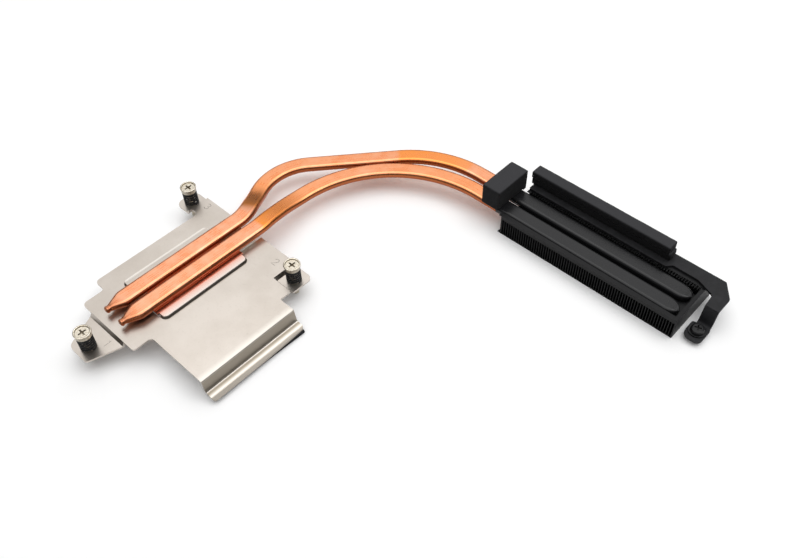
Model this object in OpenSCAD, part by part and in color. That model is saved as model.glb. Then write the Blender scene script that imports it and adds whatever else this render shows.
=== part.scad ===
// Laptop processor heatsink: a stamped retention plate that clamps a copper cold plate
// with three captive spring screws, two flattened heat pipes, and a black zipper-fin
// stack with a side bracket and foam air seals.
// Origin: centre of the cold plate's contact face. +X runs along the fin stack,
// +Y along the pipes where they lie on the plate, +Z up. Sizes are in millimetres.

/* [Cold plate] */
// Height of the contact face above the surface the heatsink stands on
seat_h = 6; // [5.6:0.1:8]
// Width of the copper block along X
block_w = 23.4; // [22:0.2:25]
// Length of the copper block along Y
block_l = 37.6; // [34:0.2:39]
// Thickness of the copper block under the sheet
block_t = 3.4; // [3:0.1:4.5]
// Width of the raised copper boss in the window
boss_w = 12.4; // [11:0.2:16]
// Length of the raised copper boss in the window
boss_l = 33.6; // [28:0.2:35]
// Chamfer round the contact face
block_chamfer = 0.5; // [0.2:0.1:1]

/* [Retention plate] */
// Thickness of the sheet
sheet_t = 0.8; // [0.6:0.1:1.2]
// Height of the raised seat over the main level
seat_rise = 1.2; // [0.8:0.1:1.6]
// Plan width of the sloped wall round the raised seat
wall_run = 0.6; // [0.5:0.1:1]
// Gap between the copper block and the inside of the raised seat
block_gap = 0.55; // [0.4:0.05:1]
// Outer corner radius of the raised seat
seat_r = 2.4; // [2.2:0.1:3.5]
// Distance from the cold plate's centre to the plain long edge
edge_far = 22; // [20:0.5:26]
// Distance from the cold plate's centre to the flange's fold
edge_flange = 44.4; // [40:0.5:50]
// Distance from the cold plate's centre to the edge that the pipes cross
edge_pipe = 31.6; // [31:0.5:36]
// Distance from the cold plate's centre to the edge that carries screw tab 1
edge_tab = 36.2; // [35:0.5:40]
// Depth of the corner step next to the plain long edge, along X
step_x = 5.9; // [4:0.5:7]
// Depth of the corner step next to the plain long edge, along Y
step_y = 9.6; // [6:0.5:11]
// Depth of the notch beside the flange's left end
notch_y = 8; // [5:0.5:9]
// Half width of the sheet at screw tab 1, on the flange side
shoulder_x = 15.9; // [14:0.5:18]
// Length of the flange along Y
flange_l = 43.4; // [38:0.5:46]
// Corner radius of the plate's outline
corner_r = 1.8; // [1:0.1:2.2]
// Width of the slots beside the tongue under the pipes
slot_w = 1.2; // [0.8:0.1:1.6]

/* [Flange] */
// Drop of the flange's steep wall
flange_drop = 5.5; // [4.5:0.1:6.2]
// Plan run of the steep wall
flange_run = 1.2; // [0.8:0.1:1.6]
// Width of the shelf at the wall's foot
shelf_w = 2.8; // [2.2:0.1:3.6]
// Fall of the shelf
shelf_fall = 0.5; // [0.3:0.1:0.8]
// Plan run of the outer lip
lip_run = 1.6; // [1.2:0.1:2]
// Drop of the outer lip
lip_drop = 1.1; // [0.7:0.1:1.2]
// Bend radius of the flange's folds
fold_r = 0.9; // [0.85:0.05:1.1]
// Clearance of the foam pad over the standing surface
pad_clear = 0.15; // [0.1:0.05:0.3]
// Narrowing of the outer lip towards its right end
lip_taper = 0.8; // [0:0.1:1.2]
// Distance by which the foam pad looks out under the lip at its right end
pad_out = 0.6; // [0:0.1:0.8]
// Distance by which the foam pad's left end is set back from that
pad_skew = 1.2; // [0:0.1:1.6]

/* [Screw tabs] */
// Step down from the plate to a screw tab
tab_drop = 1.6; // [1.2:0.1:2]
// Plan run of the step
tab_run = 1; // [0.8:0.1:1.4]
// Width of tab 1 at its root
tab1_w = 20.4; // [18:0.5:22]
// Width of tab 1 at its end
tab1_end_w = 10.4; // [9:0.2:14]
// Length of tab 1 from the plate's edge
tab1_l = 14; // [12:0.5:16]
// Width of the rectangular tab 2 along Y
tab2_w = 10.2; // [9:0.2:12]
// Length of tab 2 along X
tab2_l = 9.8; // [9:0.2:12]
// Cut between tab 2 and the plate
tab2_cut = 0.9; // [0.6:0.1:1.4]
// Width of tab 3 along Y
tab3_w = 10.2; // [9:0.2:12]
// Length of tab 3 along X
tab3_l = 8.6; // [8:0.2:11]
// Distance from the plain long edge to the root of tab 3
tab3_root = 4.4; // [3.5:0.1:6]

/* [Screws] */
// Screw 1, place in plan
screw1 = [1, -45.4]; // [-60:0.1:60]
// Screw 2, place in plan
screw2 = [32.4, 26.3]; // [-60:0.1:60]
// Screw 3, place in plan
screw3 = [-30.8, 26.5]; // [-60:0.1:60]
// Length of a screw from its tip to the underside of its head
screw_l = 14; // [13.4:0.2:15]
// Diameter of the screw head's rim
head_d = 6.7; // [6.4:0.1:7]
// Height of the screw head
head_h = 2.2; // [2:0.1:2.6]
// Depth of the dish in the head
dish_h = 0.5; // [0.3:0.1:0.8]
// Diameter of the shank
shank_d = 2.9; // [2.7:0.05:3.1]
// Outer diameter of the thread
thread_d = 2.5; // [2.3:0.1:2.6]
// Length of the thread
thread_l = 4; // [3:0.5:4.5]
// Diameter of the hole in a tab
hole_d = 3.5; // [3.3:0.1:3.8]
// Wire diameter of a spring
wire_d = 0.62; // [0.5:0.02:0.7]
// Outer diameter of a spring
spring_d = 6; // [5.4:0.1:6.2]
// Turns of a spring
spring_turns = 6; // [5:0.5:6.5]
// Thickness of a retaining ring
ring_t = 0.6; // [0.4:0.1:0.8]
// Outer diameter of a retaining ring
ring_d = 5.4; // [4.8:0.1:6]
// Diameter of the groove that holds a ring
groove_d = 2.2; // [2:0.05:2.3]
// Clearance between parts that are put together loosely
fit = 0.05; // [0.02:0.01:0.1]

/* [Heat pipes] */
// Width of a flattened pipe
pipe_w = 7.4; // [7:0.1:7.8]
// Thickness of a flattened pipe
pipe_t = 3.2; // [2.8:0.1:3.4]
// Spacing of the two pipes
pipe_pitch = 8.9; // [8.7:0.1:9.4]
// Half length of a pipe on the plate, to its sealed tip
pipe_tip = 33; // [31:0.5:35]
// Distance beyond the plate's centre where the pipes start to bend
bend_start = 34; // [33.5:0.25:36]
// Angle by which the rear pipe swings out
swing_rear = 32; // [30:0.5:34]
// Angle by which the front pipe swings out
swing_front = 10.2; // [8:0.1:11]
// Angle of the rear pipe's straight run towards the fins
run_angle = 49; // [47:0.5:51]
// Radius of the rear pipe's first bend
rear_r1 = 16; // [14:1:18]
// Radius of the rear pipe's second bend as a share of the pipes' rise from plate to fins
rear_r2_share = 0.284; // [0.25:0.01:0.31]
// Radius of the rear pipe's last bend as a share of the rise
rear_r3_share = 0.556; // [0.5:0.01:0.6]
// Length of the rear pipe's swing as a share of the rise
rear_reach_share = 0.4075; // [0.39:0.0025:0.42]
// Radius of the front pipe's first bend
front_r1 = 20; // [15:1:25]
// Radius of the front pipe's long bend as a share of the rise
front_r2_share = 0.667; // [0.62:0.01:0.69]
// Length over which the front pipe comes down to the fins' level
front_fall = 27; // [20:1:32]
// Length over which the rear pipe comes down to the fins' level
rear_fall = 19; // [16:1:26]
// Length of the pinch at a pipe's end
pinch_l = 8; // [6:0.5:9]
// Edge radius of a pipe's section
pipe_edge = 1.15; // [0.8:0.05:1.5]
// Length of a pipe's rounded end in the fins
nose_l = 5.5; // [4:0.5:7]

/* [Fin stack] */
// Distance along Y from the cold plate's centre to the middle of the two pipes in the fins
fins_y = 115; // [113:0.5:117]
// Distance along X from the cold plate's centre to the first fin
fins_x = 71.8; // [70:0.5:75]
// Number of fins
fin_count = 72; // [60:1:73]
// Pitch of the fins
fin_pitch = 1.11; // [1.05:0.01:1.15]
// Thickness of a fin
fin_t = 0.25; // [0.2:0.05:0.35]
// Height of the fins
fin_h = 9.7; // [9.4:0.1:10.5]
// Depth of the fins along Y
fin_depth = 27.9; // [27:0.1:29]
// Width of the open comb between the pipes' channel and the flange under the bracket
comb_w = 1.9; // [1.4:0.1:2.4]
// Shift of the fins' middle from the pipes' middle
fin_shift = 3.65; // [3.4:0.05:3.9]
// Height that the pipes stand proud of the fins
pipe_proud = 0.2; // [0:0.1:0.6]
// Side clearance of the pipes in their channel
channel_gap = 0.15; // [0.1:0.05:0.3]
// Height of the front rail of the fins
rail_h = 1.7; // [1:0.1:2.2]
// Thickness of an end plate
end_t = 0.5; // [0.4:0.1:0.7]
// Width of the left end plate's outward lips
lip_w = 1.1; // [0.6:0.1:1.5]
// Width of the right end plate's top flange
end_flange_w = 1.5; // [1.2:0.1:2.6]
// Distance from a pipe's tip to the right end plate
tip_gap = 2.4; // [2.2:0.1:3.5]

/* [Bracket and foam] */
// Thickness of the bracket
bracket_t = 1; // [0.8:0.1:1.2]
// Overlap of the bracket on the fins
bracket_lap = 7.9; // [7:0.1:8.2]
// Width of the bracket's strip along Y
bracket_w = 8.2; // [7.6:0.2:9]
// Set-back of the bracket's inner edge beside the fins
set_back = 2.2; // [2:0.1:2.8]
// Gap between the fin stack's right end and the bracket's leg
leg_gap = 3.7; // [3:0.1:5]
// Width of the bracket's leg
leg_w = 5.5; // [5:0.1:6.5]
// Cut at the bracket's outer corner, along Y
elbow = 6.8; // [4:0.2:8]
// Cut at the bracket's outer corner, along X
elbow_x = 5.1; // [2:0.1:5.4]
// Distance from the bracket's outer edge to its bend down
leg_l = 15; // [14:0.5:17]
// Plan run of the leg's sloped wall
leg_run = 1.5; // [1:0.1:2]
// Outer bend radius of the leg
leg_r = 1.3; // [1.25:0.05:1.5]
// Height of the foot's underside over the standing surface
foot_h = 1.6; // [1.2:0.1:2.4]
// Width of the foot
foot_w = 7.4; // [7:0.2:9]
// Length of the foot
foot_l = 9.4; // [9:0.2:11]
// Diameter of the foot screw's head
foot_head_d = 5.2; // [4.8:0.1:5.6]
// Height of the foot screw's head
foot_head_h = 1.6; // [1.4:0.1:2]
// Diameter of the foot screw's shank
foot_shank_d = 2.4; // [2.2:0.1:2.6]
// Diameter of the washer
washer_d = 6.6; // [6:0.1:7]
// Thickness of the washer
washer_t = 0.5; // [0.4:0.1:0.7]
// Diameter of the foot's retaining ring
foot_ring_d = 4.6; // [4:0.1:5]
// Size of the foam block over the pipes
block_foam = [8.7, 19, 8.9]; // [5:0.1:25]
// Thickness of the foam block's front skirt
skirt_t = 0.55; // [0.4:0.05:1]
// Depth of the foam block's skirts beside the pipes
skirt_h = 0.8; // [0.5:0.1:2.4]
// Gap between the foam block and the first fin
block_foam_gap = 3.5; // [2.5:0.1:4.5]
// Thickness of one layer of the long foam strip
strip_t = 3.25; // [2.5:0.05:4]
// Width of the long foam strip
strip_w = 5.4; // [4.5:0.1:5.8]
// Step between the two layers of the strip
strip_step = 0.25; // [0.1:0.05:0.5]
// Distance that the strip reaches past the first fin
strip_over = 3; // [1:0.5:4]
// Distance from the strip's end to the fin stack's right end
strip_stop = 17.6; // [15:0.1:20]
// Distance from the bracket's outer edge to the strip
strip_edge = 0.1; // [0:0.05:0.4]

/* [Hidden] */
$fn = 48;
eps = 0.01;
pipe_step = 4.5;

floor_z = -seat_h;
seat_top = block_t + sheet_t;
plate_top = seat_top - seat_rise;
tab_top = plate_top - tab_drop;

// Raised seat: foot of its sloped wall, symmetrical about the copper block
seat_x = block_w / 2 + block_gap + sheet_t + wall_run;
seat_y = block_l / 2 + block_gap + wall_run + 0.35;
open_x = seat_x - seat_r - 0.5;
lance_x = open_x - 1.1;
tongue_x = boss_w / 2;
tongue_end = edge_pipe - 2.6;
groove_x = (pipe_pitch - pipe_w) / 2 + 0.15;

// Tab 2 and tab 3 hang on the edge that the pipes cross
tab2_root = screw2[0] - tab2_l / 2 - 0.3;
tab2_low = edge_pipe - tab2_w;
plate_right = tab2_root + tab2_l;
right_y = flange_l - (edge_tab - notch_y);
tab3_x = -edge_far - tab3_root;
tab3_low = edge_pipe - tab3_w;

head_z = floor_z + screw_l;
ring_z = tab_top - sheet_t - ring_t;

// Fins and pipes
pipe_bottom_fins = floor_z + fin_h + pipe_proud - pipe_t;
rise = fins_y - bend_start;
front_y = fins_y - pipe_pitch / 2;
rear_y = fins_y + pipe_pitch / 2;
fins_end = fins_x + fin_count * fin_pitch;
tip_x = fins_end + end_t - tip_gap;
fin_y0 = fins_y + fin_shift - fin_depth / 2;
fin_y1 = fin_y0 + fin_depth;
channel_y0 = front_y - pipe_w / 2 - channel_gap;
channel_y1 = rear_y + pipe_w / 2 + channel_gap;
channel_z = pipe_bottom_fins - floor_z;

// Bracket
bracket_z = floor_z + fin_h;
bracket_y0 = fin_y1 - bracket_lap;
bracket_y1 = bracket_y0 + bracket_w;
strip_x1 = fins_end + end_t - strip_stop;
leg_x0 = fins_end + end_t + leg_gap;
leg_x1 = leg_x0 + leg_w;
leg_y = bracket_y1 - leg_l;
foot_z = floor_z + foot_h;
foot_y1 = leg_y - leg_run;
foot_c = [leg_x1 - foot_w / 2 + 0.4, foot_y1 - foot_l / 2 + 0.2];

// Unit vector
function unit(v) = v / norm(v);
// First two numbers of a point
function xy(p) = [p[0], p[1]];

// Points of one corner rounded with radius r, between its two neighbours
function corner(p0, p1, p2, r, step = 15) =
    r <= 0 ? [p1] :
    let (u = unit(p0 - p1), v = unit(p2 - p1), half = acos(u * v) / 2,
        c = p1 + unit(u + v) * (r / sin(half)),
        s = p1 + u * (r / tan(half)) - c, e = p1 + v * (r / tan(half)) - c,
        a0 = atan2(s[1], s[0]), turn = (atan2(e[1], e[0]) - a0 + 540) % 360 - 180,
        n = max(2, ceil(abs(turn) / step)))
    [for (i = [0:n]) c + r * [cos(a0 + turn * i / n), sin(a0 + turn * i / n)]];

// Closed outline from corners written as [x, y, radius]
function outline(p) =
    let (n = len(p))
    [for (i = [0:n - 1]) each corner(xy(p[(i + n - 1) % n]), xy(p[i]), xy(p[(i + 1) % n]), p[i][2])];

// Open path from points written as [x, y, radius]; the two ends stay sharp
function path(p, step = 15) =
    let (n = len(p))
    [xy(p[0]), for (i = [1:n - 2]) each corner(xy(p[i - 1]), xy(p[i]), xy(p[i + 1]), p[i][2], step),
        xy(p[n - 1])];

// Normal on the right of the travel from a to b
function right(a, b) = let (d = unit(b - a)) [d[1], -d[0]];

// Line that lies the distance t to the right of a path
function beside(p, t) =
    let (n = len(p))
    [for (i = [0:n - 1])
        let (a = right(p[max(i - 1, 0)], p[max(i, 1)]), b = right(p[min(i, n - 2)], p[min(i + 1, n - 1)]),
            m = unit(a + b))
        p[i] + m * t / (m * a)];

// Points in reverse order
function reverse(p) = [for (i = [len(p) - 1:-1:0]) p[i]];

// Section of a bent sheet: the path is its upper face, thickness t lies on the right
function sheet(p, t) = concat(p, reverse(beside(p, t)));

// A section drawn as (Y, Z) and extruded along X from x0 to x1
module along_x(x0, x1) {
    translate([x0, 0, 0]) rotate([90, 0, 90]) linear_extrude(x1 - x0) children();
}

// A section drawn as (X, Z) and extruded along Y from y0 to y1
module along_y(y0, y1) {
    translate([0, y1, 0]) rotate([90, 0, 0]) linear_extrude(y1 - y0) children();
}

// Box between two corners
module span(a, b) {
    translate(a) cube(b - a);
}

// Step from the plate down to a tab, from the plate's edge outwards
module tab_step() {
    polygon(sheet([[-0.4, plate_top], [0, plate_top], [tab_run, tab_top],
        [tab_run + 0.4, tab_top]], sheet_t));
}

// Wall of the raised seat, from the plate inwards and up
module seat_wall() {
    polygon(sheet([[-0.6, plate_top], [0, plate_top], [wall_run, seat_top],
        [wall_run + 0.5, seat_top]], sheet_t));
}

// Main level of the plate with the cut-out for the raised seat and the tongue
module plate_level() {
    translate([0, 0, plate_top - sheet_t]) linear_extrude(sheet_t) difference() {
        polygon(outline([
            [-edge_far, edge_tab * -1 + step_y, corner_r],
            [-edge_far + step_x, edge_tab * -1 + step_y, corner_r * 0.8],
            [-edge_far + step_x, -edge_tab, corner_r],
            [shoulder_x, -edge_tab, corner_r * 0.8],
            [shoulder_x, -edge_tab + notch_y, corner_r * 0.8],
            [edge_flange, -edge_tab + notch_y, 0],
            [edge_flange, right_y, 0],
            [plate_right, right_y, 0.6],
            [plate_right, tab2_low - tab2_cut, 0.5],
            [tab2_root, tab2_low - tab2_cut, 0.4],
            [tab2_root, edge_pipe, 0],
            [tab3_x, edge_pipe, 0],
            [tab3_x, tab3_low + 1.7, 0],
            [-edge_far, tab3_low + 1.7, 2.6]]));
        seat_cut();
        translate([-tongue_x - slot_w, 0]) square([2 * (tongue_x + slot_w), edge_pipe + 1]);
    }
}

// Cut-out under the raised seat, in plan
module seat_cut() {
    g = 0.3;
    polygon(outline([for (c = [[-1, -1], [1, -1], [1, 1], [-1, 1]])
        [c[0] * (seat_x + g), c[1] * (seat_y + g), seat_r + g]]));
}

// Raised seat: flat top with window, sloped walls, ends left open for the pipes
module raised_seat() {
    in_x = seat_x - wall_run - 0.3;
    in_y = seat_y - wall_run;
    difference() {
        union() {
            translate([0, 0, seat_top - sheet_t]) linear_extrude(sheet_t)
                polygon(outline([for (c = [[-1, -1], [1, -1], [1, 1], [-1, 1]])
                    [c[0] * in_x, c[1] * in_y, seat_r - wall_run - 0.3]]));
            span([-lance_x, -seat_y - 0.2, seat_top - sheet_t], [lance_x, seat_y + 0.2, seat_top]);
            for (s = [0, 180]) rotate([0, 0, s]) {
                along_y(-seat_y + seat_r, seat_y - seat_r) translate([-seat_x, 0]) seat_wall();
                for (m = [0, 1]) mirror([0, m, 0]) {
                    translate([-seat_x + seat_r, -seat_y + seat_r, 0]) rotate([0, 0, 180])
                        rotate_extrude(angle = 90) mirror([1, 0]) translate([-seat_r, 0]) seat_wall();
                    along_x(-seat_x + seat_r, -open_x) translate([-seat_y, 0]) seat_wall();
                }
            }
        }
        window();
    }
    // Tongue that carries the pipes out to the plate's edge, split under the gap between them
    difference() {
        span([-tongue_x, seat_y - wall_run - 1, seat_top - sheet_t], [tongue_x, tongue_end, seat_top]);
        window();
    }
}

// Window for the copper boss, with the split that runs on through the tongue
module window() {
    g = 0.15;
    span([-boss_w / 2 - g, -boss_l / 2 - g, seat_top - sheet_t - 1],
        [boss_w / 2 + g, boss_l / 2 + g, seat_top + 1]);
    span([-groove_x, 0, seat_top - sheet_t - 1], [groove_x, tongue_end + 1, seat_top + 1]);
}

// Upper face of the flange from its fold outwards, as (X, Z)
function flange_line(x0) = path([
    [x0 - 1, plate_top, 0],
    [x0, plate_top, fold_r],
    [x0 + flange_run, plate_top - flange_drop, fold_r],
    [x0 + flange_run + shelf_w, plate_top - flange_drop - shelf_fall, fold_r],
    [x0 + flange_run + shelf_w + lip_run, plate_top - flange_drop - shelf_fall - lip_drop, 0]]);
flange_x1 = edge_flange + flange_run + shelf_w + lip_run;
flange_y0 = -edge_tab + notch_y;

// Stepped flange with rounded outer corners
module flange() {
    intersection() {
        along_y(flange_y0, right_y) polygon(sheet(flange_line(edge_flange), sheet_t));
        translate([0, 0, floor_z]) linear_extrude(seat_h + seat_top)
            polygon(outline([[edge_flange - 2, flange_y0, 0], [flange_x1, flange_y0, 1.8],
                [flange_x1 - lip_taper, right_y, 1], [edge_flange - 2, right_y, 0]]));
    }
}

// Lowered tab from its outline in plan and its screw's place
module tab(points, place) {
    difference() {
        translate([0, 0, tab_top - sheet_t]) linear_extrude(sheet_t) polygon(outline(points));
        translate([place[0], place[1], tab_top - sheet_t - 1]) cylinder(d = hole_d, h = sheet_t + 2);
    }
}

module retention_plate() {
    color([0.78, 0.76, 0.72]) union() {
        plate_level();
        raised_seat();
        flange();
        // Tab 1, tapered, on the edge away from the fins
        translate([0, -edge_tab, 0]) rotate([0, 0, 180]) along_x(-tab1_w / 2, tab1_w / 2) tab_step();
        tab([[-tab1_w / 2, -edge_tab - tab_run, 0],
            [screw1[0] - tab1_end_w / 2, -edge_tab - tab1_l, 3.6],
            [screw1[0] + tab1_end_w / 2, -edge_tab - tab1_l, 1.4],
            [tab1_w / 2, -edge_tab - tab_run, 0]], screw1);
        // Tab 2, rectangular, cut free from the plate
        along_y(tab2_low, edge_pipe) translate([tab2_root, 0]) tab_step();
        tab([[tab2_root + tab_run, tab2_low, 0], [tab2_root + tab2_l, tab2_low, 0.8],
            [tab2_root + tab2_l, edge_pipe, 2.2], [tab2_root + tab_run, edge_pipe, 0]], screw2);
        // Tab 3, rounded, on the plain long edge
        translate([tab3_x, 0, 0]) mirror([1, 0, 0]) along_y(tab3_low, edge_pipe) tab_step();
        tab([[tab3_x - tab_run, tab3_low, 0], [tab3_x - tab_run, edge_pipe, 0],
            [tab3_x - tab3_l, edge_pipe, 3], [tab3_x - tab3_l, tab3_low, 3]], screw3);
    }
}

module cold_plate() {
    c = block_chamfer;
    color([0.85, 0.45, 0.28]) union() {
        intersection() {
            along_x(-block_w / 2, block_w / 2) polygon([[-block_l / 2 + c, 0], [block_l / 2 - c, 0],
                [block_l / 2, c], [block_l / 2, block_t], [-block_l / 2, block_t], [-block_l / 2, c]]);
            along_y(-block_l / 2, block_l / 2) polygon([[-block_w / 2 + c, 0], [block_w / 2 - c, 0],
                [block_w / 2, c], [block_w / 2, block_t], [-block_w / 2, block_t], [-block_w / 2, c]]);
        }
        span([-boss_w / 2, -boss_l / 2, block_t - 0.5], [boss_w / 2, boss_l / 2, seat_top]);
    }
}

// Heat pipes

// Path with extra points, so that no step is longer than step
function divide(p, step) = [p[0], for (i = [1:len(p) - 1])
    let (n = max(1, ceil(norm(p[i] - p[i - 1]) / step)))
    for (k = [1:n]) p[i - 1] + (p[i] - p[i - 1]) * k / n];

// Length of the path up to each point
function lengths(p) = [for (i = 0, s = 0; i < len(p);
    i = i + 1, s = s + norm(p[min(i, len(p) - 1)] - p[i - 1])) s];

// Smooth rise from 0 to 1 between a and b
function smooth(t, a, b) = let (u = min(max((t - a) / (b - a), 0), 1)) u * u * (3 - 2 * u);

// Half width of a pipe at distance d from its sealed end
function half_w(d) = lookup(d, [[0, 0.75], [0.35, 1.2], [0.9, 1.35], [2.2, 1.5],
    [pinch_l - 1.2, pipe_w / 2 - 0.25], [pinch_l, pipe_w / 2]]);
// Half thickness of a pipe at distance d from its sealed end
function half_t(d) = lookup(d, [[0, 0.75], [0.35, 1.15], [0.9, 1.3], [3, 1.45], [pinch_l, pipe_t / 2]]);

// Half width of a pipe at distance d from its rounded end in the fins
function nose_w(d) = pipe_w / 2 * max(sqrt(max(1 - pow(1 - min(d / nose_l, 1), 2), 0)), 0.22);
// Half thickness of a pipe at distance d from its rounded end in the fins
function nose_t(d) = lookup(d, [[0, 0.8], [0.9, 1.15], [2.2, 1.4], [nose_l, pipe_t / 2]]);

pipe_sides = 6;

// Ring of a flattened tube: centre c, travel t, height z, half width w, half thickness h
function pipe_ring(c, t, z, w, h) =
    let (n = [t[1], -t[0]], e = min(pipe_edge, 0.9 * w, 0.85 * h), m = pipe_sides / 2)
    [for (side = [1, -1]) for (half = [-1, 1]) for (k = [0:m])
        let (a = 90 * (half < 0 ? k / m - 1 : k / m))
        [c[0] + n[0] * side * (w - e + e * cos(a)), c[1] + n[1] * side * (w - e + e * cos(a)),
            z + side * (half * (h - e) + e * sin(a))]];

// Flattened pipe along a plan path, falling from the plate to the fins between two lengths
module pipe(plan, fall_start, fall_end) {
    p = divide(plan, 6);
    s = lengths(p);
    n = len(p);
    total = s[n - 1];
    extra = [0.35, 0.9, 2.2, 4, pinch_l - 1.2, pinch_l];
    // Every length at which a ring stands: the path's own points and the pinches
    stops = concat([0], extra, [for (v = s) if (v > pinch_l + 0.5 && v < total - pinch_l - 0.5) v],
        [for (i = [len(extra) - 1:-1:0]) total - extra[i]], [total]);
    rings = [for (v = stops)
        let (i = min(len([for (q = s) if (q <= v) q]), n - 1),
            f = (v - s[i - 1]) / (s[i] - s[i - 1]),
            on_point = abs(v - s[i - 1]) < 0.001 && i > 1,
            here = p[i - 1] + (p[i] - p[i - 1]) * f,
            dir = unit(on_point ? unit(p[i] - p[i - 1]) + unit(p[i - 1] - p[i - 2]) : p[i] - p[i - 1]),
            z = seat_top + pipe_t / 2
                - (seat_top - pipe_bottom_fins) * smooth(v, fall_start, fall_end))
        v < total / 2 ? pipe_ring(here, dir, z, half_w(v), half_t(v))
            : pipe_ring(here, dir, z, nose_w(total - v), nose_t(total - v))];
    m = 2 * (pipe_sides + 2);
    k = len(rings);
    polyhedron(points = [for (r = rings) each r],
        faces = concat([[for (j = [0:m - 1]) j]], [[for (j = [m - 1:-1:0]) (k - 1) * m + j]],
            [for (i = [0:k - 2]) for (j = [0:m - 1])
                let (a = i * m + j, b = i * m + (j + 1) % m, c = a + m, d = b + m)
                    each [[a, c, b], [b, c, d]]]),
        convexity = 6);
}

// Point where a line from p at angle a meets the line y = y1
function meet_y(p, a, y1) = [p[0] + (y1 - p[1]) / tan(a), y1];

module heat_pipe_front() {
    x = pipe_pitch / 2;
    far = meet_y([x, bend_start], 90 + swing_front, front_y);
    start = pipe_tip + bend_start - 1;
    color([0.88, 0.5, 0.3]) pipe(path([[x, -pipe_tip, 0], [x, bend_start, front_r1],
        [far[0], far[1], rise * front_r2_share], [tip_x, front_y, 0]], pipe_step), start, start + front_fall);
}

// The rear pipe swings out, turns over to its straight run and joins the line of the fins
module heat_pipe_rear() {
    x = -pipe_pitch / 2;
    out = [x, bend_start] + rise * rear_reach_share * [-sin(swing_rear), cos(swing_rear)];
    far = meet_y(out, run_angle, rear_y);
    start = pipe_tip + bend_start;
    color([0.88, 0.5, 0.3]) pipe(path([[x, -pipe_tip, 0], [x, bend_start, rear_r1],
        [out[0], out[1], rise * rear_r2_share], [far[0], far[1], rise * rear_r3_share],
        [tip_x, rear_y, 0]], pipe_step), start, start + rear_fall);
}

// Captive screw with dished cross-recess head, grooved shank and threaded tip
module captive_screw(place) {
    r = head_d / 2;
    s = shank_d / 2;
    g = groove_d / 2;
    t = thread_d / 2;
    top = head_z + head_h;
    color([0.8, 0.77, 0.7]) translate([place[0], place[1], 0]) difference() {
        rotate_extrude() polygon([
            [0, floor_z], [t - 0.3, floor_z], [t, floor_z + 0.4], [t, floor_z + thread_l],
            [s, floor_z + thread_l + 0.3], [s, ring_z - 2 * fit], [g, ring_z - 2 * fit],
            [g, ring_z + ring_t], [s, ring_z + ring_t], [s, head_z],
            [r - 0.45, head_z], [r - 0.3, head_z + 0.15], [r - 0.18, head_z + head_h * 0.62],
            [r - 0.3, head_z + head_h * 0.68], [r - 0.08, head_z + head_h * 0.74],
            [r, top - 0.35], [r - 0.12, top - 0.08], [r - 0.35, top], [r - 0.62, top - 0.05],
            [r - 0.8, top - dish_h], [0, top - dish_h]]);
        for (a = [0, 90]) rotate([0, 0, a])
            translate([-1.6, -0.33, top - dish_h - 1]) cube([3.2, 0.66, 1.2]);
        translate([0, 0, top - dish_h - 1.2]) cylinder(d = 1.3, h = 1.4);
    }
}

// Coil spring between a tab and the underside of a screw's head, with closed ends
module screw_spring(place) {
    z0 = tab_top + wire_d / 2 + fit;
    z1 = head_z - wire_d / 2 - fit;
    r = (spring_d - wire_d) / 2;
    steps = 16;
    sides = 6;
    n = round(spring_turns * steps);
    closed = wire_d * 1.02;
    // Height after u turns: the first and the last turn lie closed
    function rise(u) = u < 1 ? z0 + closed * u : u > spring_turns - 1 ? z1 - closed * (spring_turns - u)
        : z0 + closed + (z1 - z0 - 2 * closed) * (u - 1) / (spring_turns - 2);
    color([0.1, 0.1, 0.11]) translate([place[0], place[1], 0]) polyhedron(
        points = [for (i = [0:n]) let (a = 360 * i / steps, z = rise(i / steps))
            for (j = [0:sides - 1]) let (b = 360 * (j + 0.5) / sides, q = r + wire_d / 2 * cos(b))
                [q * cos(a), q * sin(a), z + wire_d / 2 * sin(b)]],
        faces = concat([[for (j = [0:sides - 1]) j]], [[for (j = [sides - 1:-1:0]) n * sides + j]],
            [for (i = [0:n - 1]) for (j = [0:sides - 1])
                let (a = i * sides + j, b = i * sides + (j + 1) % sides, c = a + sides, d = b + sides)
                each [[a, c, b], [b, c, d]]]),
        convexity = 8);
}

// Open ring snapped into a shank's groove
module open_ring(place, z, d, bore, t) {
    color([0.55, 0.54, 0.52]) translate([place[0], place[1], z]) difference() {
        cylinder(d = d, h = t);
        translate([0, 0, -1]) cylinder(d = bore + 2 * fit, h = t + 2);
        translate([-bore * 0.4, 0, -1]) cube([bore * 0.8, d, t + 2]);
    }
}

module captive_screw_1() captive_screw(screw1);
module captive_screw_2() captive_screw(screw2);
module captive_screw_3() captive_screw(screw3);
module screw_spring_1() screw_spring(screw1);
module screw_spring_2() screw_spring(screw2);
module screw_spring_3() screw_spring(screw3);
module retaining_ring_1() open_ring(screw1, ring_z - fit, ring_d, groove_d, ring_t);
module retaining_ring_2() open_ring(screw2, ring_z - fit, ring_d, groove_d, ring_t);
module retaining_ring_3() open_ring(screw3, ring_z - fit, ring_d, groove_d, ring_t);

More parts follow.
